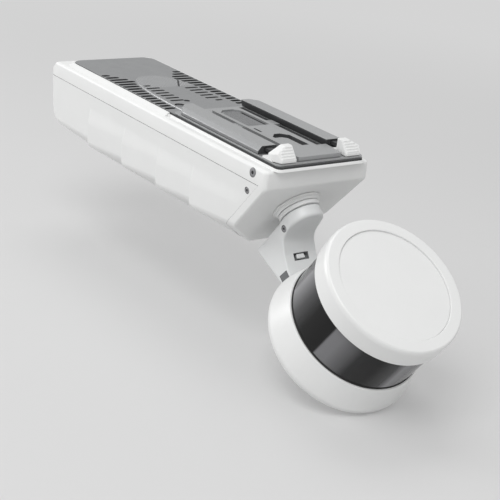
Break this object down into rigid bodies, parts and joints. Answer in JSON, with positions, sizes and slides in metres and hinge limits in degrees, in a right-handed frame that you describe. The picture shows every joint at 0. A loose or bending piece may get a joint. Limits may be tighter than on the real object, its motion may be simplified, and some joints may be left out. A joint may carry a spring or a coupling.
{
  "type": "handheld laser scanner",
  "caption": "Handheld laser scanner: long sensor body with a dock on its deck, and a turning head on a slanted axis that carries a spinning lidar behind a smoked window.",
  "frame": {"origin": "middle of the dock pad's flat top, where a carrier clamps the scanner", "axes": "+Z is the deck's outward normal, +Y points from the nose to the rear, +X to the right when looking towards +Y"},
  "size_m": [0.1086, 0.4154, 0.1546],
  "materials": {
    "white_plastic": "satin white moulded plastic with a fine grain",
    "white_metal": "light satin paint on cast metal",
    "gray_metal": "gray metallic paint on machined metal",
    "dark_metal": "blackened metal",
    "aluminium": "bare machined aluminium",
    "steel": "ground steel",
    "copper_winding": "enamelled copper winding",
    "black_plastic": "black filled plastic",
    "black_rubber": "black rubber",
    "gray_rubber": "gray rubber",
    "smoked_window": "smoked polished window that only infrared light passes",
    "lens_glass": "coated lens glass",
    "circuit_board": "green circuit board"
  },
  "bodies": {
    "root": {"upper_shell": "white_plastic", "lower_shell": "white_plastic", "hub_collar": "white_plastic", "deck_lid": "gray_metal", "dock_plate": "gray_metal", "left_rail": "gray_metal", "right_rail": "gray_metal", "dock_pad": "gray_metal", "deck_plug": "gray_metal", "left_upper_screw": "dark_metal", "right_upper_screw": "dark_metal", "left_lower_screw": "dark_metal", "right_lower_screw": "dark_metal", "deck_screw": "dark_metal", "power_socket": "dark_metal", "data_socket": "dark_metal", "button_bezel": "dark_metal", "storage_drive": "dark_metal", "bearing_housing": "aluminium", "heat_spreader": "aluminium", "motion_sensor": "aluminium", "power_module": "aluminium", "front_bearing": "steel", "rear_bearing": "steel", "wireless_module": "steel", "left_release_spring": "steel", "right_release_spring": "steel", "motor_stator": "copper_winding", "slip_ring": "black_plastic", "lid_gasket": "black_rubber", "main_board": "circuit_board", "encoder_reader": "circuit_board"},
    "scan_head": {"head_shaft": "steel", "motor_rotor": "dark_metal", "encoder_disc": "steel", "arm": "white_metal", "left_arm_screw": "dark_metal", "right_arm_screw": "dark_metal", "left_damper": "gray_rubber", "right_damper": "gray_rubber", "puck_base": "white_plastic", "window_seal": "black_rubber", "window": "smoked_window", "top_cap": "white_plastic", "top_disc": "white_plastic", "spindle": "steel", "base_board": "circuit_board", "spin_stator": "copper_winding", "lower_spin_bearing": "steel", "upper_spin_bearing": "steel"},
    "lidar_rotor": {"turret": "black_plastic", "rotor_magnet": "dark_metal", "emitter_lens": "lens_glass", "receiver_lens": "lens_glass"},
    "left_tab": {"left_release_tab": "white_plastic"},
    "right_tab": {"right_release_tab": "white_plastic"},
    "button": {"power_button": "black_rubber"}
  },
  "joints": [
    {"name": "head_spin", "type": "hinge", "parent": "root", "child": "scan_head", "pos_m": [0, -0.04065, -0.04118], "axis": [0, -0.766, -0.6428], "continuous": true},
    {"name": "lidar_spin", "type": "hinge", "parent": "scan_head", "child": "lidar_rotor", "pos_m": [0, -0.10015, -0.11931], "axis": [0, -0.5736, 0.8192], "continuous": true},
    {"name": "left_release", "type": "slide", "parent": "root", "child": "left_tab", "axis": [0, 1, 0], "range_m": [0, 0.005], "stiffness_N_per_m": 400, "springref_m": -0.002, "deforming": ["left_release_spring"]},
    {"name": "right_release", "type": "slide", "parent": "root", "child": "right_tab", "axis": [0, 1, 0], "range_m": [0, 0.005], "stiffness_N_per_m": 400, "springref_m": -0.002, "deforming": ["right_release_spring"]},
    {"name": "power_press", "type": "slide", "parent": "root", "child": "button", "axis": [0, -0.9586, 0.2846], "range_m": [0, 0.001], "stiffness_N_per_m": 800, "springref_m": -0.0005}
  ]
}
